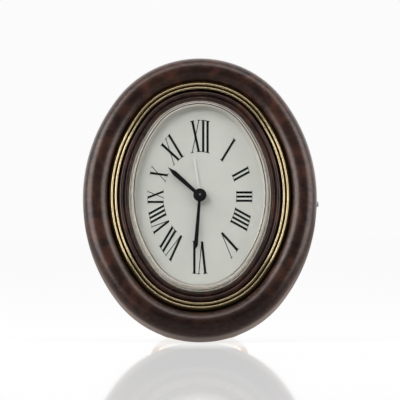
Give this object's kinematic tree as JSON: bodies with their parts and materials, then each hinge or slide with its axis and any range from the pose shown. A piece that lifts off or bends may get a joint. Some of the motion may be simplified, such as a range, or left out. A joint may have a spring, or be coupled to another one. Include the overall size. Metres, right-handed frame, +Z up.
{
  "type": "desk alarm clock",
  "caption": "Oval desk alarm clock with a dark lacquered ring, gilt trim, bevelled crystal, plain hands, setting knobs, push button and a folding rear strut.",
  "frame": {"origin": "on the table under the middle of the clock's bounding box", "axes": "+Z up, -Y towards the reader of the dial, +X to the reader's right"},
  "size_m": [0.0788, 0.0576, 0.0948],
  "materials": {
    "burl_lacquer": "dark burl veneer under high-gloss lacquer",
    "gilt": "polished gilt",
    "crystal": "clear, with a bevelled rim",
    "cream_gasket": "satin cream",
    "champagne": "satin champagne paint",
    "dial_white": "matte off-white print ground",
    "black_plastic": "moulded, fine texture",
    "gilt_satin": "satin gilt pressing",
    "screw_brass": "turned",
    "hand_white": "silver-white paint",
    "hand_black": "satin black",
    "works_brass": "stamped and turned",
    "white_wheel": "natural acetal",
    "movement_grey": "moulded",
    "steel": "plain",
    "board_green": "solder mask",
    "copper_wire": "enamelled winding",
    "magnet": "sintered magnet",
    "button_grey": "light grey",
    "black_rubber": "plain"
  },
  "bodies": {
    "case": {"bezel_ring": "burl_lacquer", "gilt_ring": "gilt", "inner_moulding": "burl_lacquer", "crystal": "crystal", "crystal_gasket": "cream_gasket", "dial_ring": "champagne", "dial": "dial_white", "case_frame": "black_plastic", "rear_case": "gilt_satin", "back_cover": "gilt_satin", "cover_screws": "screw_brass", "movement_plate": "movement_grey", "gear_plate": "works_brass", "movement_cover": "black_plastic", "movement_screws": "steel", "circuit_board": "board_green", "quartz_can": "steel", "motor_coil": "copper_wire", "stator": "steel", "sounder": "works_brass", "alarm_switch": "black_plastic", "button_bush": "screw_brass", "button_cell": "steel", "cell_contact": "works_brass", "hinge_pin": "steel", "hinge_brackets": "gilt_satin", "bracket_screws": "screw_brass"},
    "minute": {"minute_hand": "hand_black", "hand_cap": "hand_black", "minute_arbor": "works_brass", "centre_wheel": "works_brass"},
    "hour": {"hour_hand": "hand_black", "hour_wheel": "white_wheel"},
    "alarm_pointer": {"alarm_hand": "hand_white", "alarm_wheel": "white_wheel"},
    "motion": {"motion_wheel": "white_wheel"},
    "time_setter": {"time_stem": "works_brass", "time_knob": "gilt"},
    "alarm_setter": {"alarm_stem": "works_brass", "alarm_knob": "gilt"},
    "button": {"alarm_button": "button_grey"},
    "hatch": {"battery_hatch": "gilt_satin", "hatch_seal": "black_rubber"},
    "strut": {"strut": "gilt"},
    "rotor": {"rotor": "magnet"}
  },
  "joints": [
    {"name": "time_turn", "type": "hinge", "parent": "case", "child": "time_setter", "pos_m": [-0.0076, 0.0025, 0.03588], "axis": [0, 0.9613, -0.2756], "continuous": true},
    {"name": "minute_turn", "type": "hinge", "parent": "case", "child": "minute", "pos_m": [0, -0.0098, 0.04739], "axis": [0, 0.9613, -0.2756], "continuous": true},
    {"name": "hour_turn", "type": "hinge", "parent": "case", "child": "hour", "pos_m": [0, -0.0098, 0.04739], "axis": [0, 0.9613, -0.2756], "continuous": true},
    {"name": "motion_turn", "type": "hinge", "parent": "case", "child": "motion", "pos_m": [-0.00194, -0.00848, 0.0411], "axis": [0, 0.9613, -0.2756], "continuous": true},
    {"name": "alarm_turn", "type": "hinge", "parent": "case", "child": "alarm_setter", "pos_m": [0.0076, 0.0025, 0.03588], "axis": [0, 0.9613, -0.2756], "continuous": true},
    {"name": "alarm_hand_turn", "type": "hinge", "parent": "case", "child": "alarm_pointer", "pos_m": [0, -0.0098, 0.04739], "axis": [0, 0.9613, -0.2756], "continuous": true},
    {"name": "button_push", "type": "slide", "parent": "case", "child": "button", "axis": [-1, 0, 0], "range_m": [0, 0.0008], "stiffness_N_per_m": 400, "springref_m": -0.0005},
    {"name": "hatch_turn", "type": "hinge", "parent": "case", "child": "hatch", "pos_m": [0, 0.00871, 0.0684], "axis": [0, 0.9613, -0.2756], "range_deg": [0, 45]},
    {"name": "strut_fold", "type": "hinge", "parent": "case", "child": "strut", "pos_m": [0, 0.00828, 0.05676], "axis": [-1, 0, 0], "range_deg": [0, 35]},
    {"name": "rotor_turn", "type": "hinge", "parent": "case", "child": "rotor", "pos_m": [-0.0122, -0.00288, 0.04977], "axis": [0, 0.9613, -0.2756], "continuous": true}
  ],
  "couplings": [
    {"joint": "minute_turn", "follows": "time_turn", "ratio": 1},
    {"joint": "hour_turn", "follows": "time_turn", "ratio": 0.083333},
    {"joint": "motion_turn", "follows": "time_turn", "ratio": -0.33333},
    {"joint": "alarm_hand_turn", "follows": "alarm_turn", "ratio": -0.28571}
  ]
}
